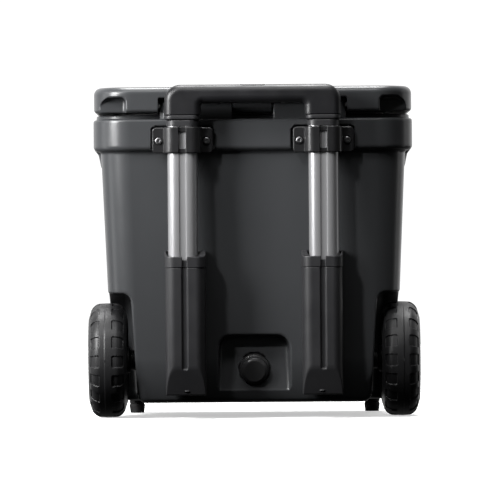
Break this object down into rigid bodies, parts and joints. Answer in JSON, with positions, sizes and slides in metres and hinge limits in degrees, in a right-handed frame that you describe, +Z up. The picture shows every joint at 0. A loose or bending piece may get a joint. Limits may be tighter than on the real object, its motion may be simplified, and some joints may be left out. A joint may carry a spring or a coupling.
{
  "type": "wheeled hard cooler",
  "caption": "Insulated moulded cooler with a hinged lid, latches, a telescoping pull handle, two fat treaded wheels and a drain plug.",
  "frame": {"origin": "centre of the footprint on the ground", "axes": "+Z up, +X to the right seen from behind, handle and wheels on the -Y side, latches on the +Y side"},
  "size_m": [0.498, 0.45, 0.499],
  "materials": {
    "shell": "satin",
    "foam": "matte",
    "gasket": "matte",
    "steel": "satin",
    "dark_screw": "satin",
    "latch": "satin",
    "bracket": "satin",
    "glide": "matte",
    "rail": "satin",
    "grip": "satin",
    "button": "satin",
    "tyre": "matte",
    "hub": "satin",
    "drain": "satin",
    "seal": "matte",
    "foot": "matte"
  },
  "bodies": {
    "cooler": {"body_shell": "shell", "body_foam": "foam", "hinge_block_left": "shell", "hinge_block_right": "shell", "hinge_rods": "steel", "collar_left": "bracket", "collar_right": "bracket", "collar_screws": "dark_screw", "socket_left": "bracket", "socket_right": "bracket", "socket_ring_left": "bracket", "socket_ring_right": "bracket", "rail_left": "rail", "rail_right": "rail", "neck_left": "bracket", "neck_right": "bracket", "axle_left": "steel", "axle_right": "steel", "spacer_left": "bracket", "spacer_right": "bracket", "axle_cap_left": "hub", "axle_cap_right": "hub", "drain_fitting": "drain", "feet": "foot", "foot_screws": "steel"},
    "lid": {"lid_shell": "shell", "lid_foam": "foam", "lid_gasket": "gasket", "latch_pins": "steel"},
    "latch_left": {"latch_left": "latch"},
    "latch_right": {"latch_right": "latch"},
    "mid_stage": {"mid_tube_left": "rail", "mid_tube_right": "rail", "mid_bush_left": "bracket", "mid_bush_right": "bracket", "mid_glide_left": "glide", "mid_glide_right": "glide"},
    "grip_stage": {"inner_tube_left": "rail", "inner_tube_right": "rail", "inner_glide_left": "glide", "inner_glide_right": "glide", "grip": "grip", "grip_screws": "dark_screw", "button_spring": "steel"},
    "release_button": {"release_button": "button"},
    "wheel_left": {"tyre_left": "tyre", "hub_left": "hub"},
    "wheel_right": {"tyre_right": "tyre", "hub_right": "hub"},
    "drain_seal": {"drain_seal": "seal"},
    "drain_plug": {"drain_plug": "drain"}
  },
  "joints": [
    {"name": "lid_hinge", "type": "hinge", "parent": "cooler", "child": "lid", "pos_m": [0, -0.165, 0.468], "axis": [1, 0, 0], "range_deg": [0, 90]},
    {"name": "latch_left_hinge", "type": "hinge", "parent": "lid", "child": "latch_left", "pos_m": [-0.12, 0.213, 0.478], "axis": [1, 0, 0], "range_deg": [0, 90]},
    {"name": "latch_right_hinge", "type": "hinge", "parent": "lid", "child": "latch_right", "pos_m": [0.12, 0.213, 0.478], "axis": [1, 0, 0], "range_deg": [0, 90]},
    {"name": "handle_lower_slide", "type": "slide", "parent": "cooler", "child": "mid_stage", "axis": [0, 0, 1], "range_m": [0, 0.27]},
    {"name": "handle_upper_slide", "type": "slide", "parent": "mid_stage", "child": "grip_stage", "axis": [0, 0, 1], "range_m": [0, 0.27]},
    {"name": "button_press", "type": "slide", "parent": "grip_stage", "child": "release_button", "axis": [0, 0, -1], "range_m": [0, 0.003], "stiffness_N_per_m": 400, "deforming": ["button_spring"]},
    {"name": "wheel_left_spin", "type": "hinge", "parent": "cooler", "child": "wheel_left", "pos_m": [-0.215, -0.094, 0.086], "axis": [1, 0, 0], "continuous": true},
    {"name": "wheel_right_spin", "type": "hinge", "parent": "cooler", "child": "wheel_right", "pos_m": [0.215, -0.094, 0.086], "axis": [1, 0, 0], "continuous": true},
    {"name": "drain_slide", "type": "slide", "parent": "cooler", "child": "drain_seal", "axis": [0, -0.9848, -0.1736], "range_m": [0, 0.008]},
    {"name": "drain_turn", "type": "hinge", "parent": "drain_seal", "child": "drain_plug", "pos_m": [0, -0.135, 0.0735], "axis": [0, -0.9848, -0.1736], "range_deg": [0, 720]}
  ],
  "couplings": [
    {"joint": "drain_turn", "follows": "drain_slide", "rad_per_m": 1570}
  ]
}
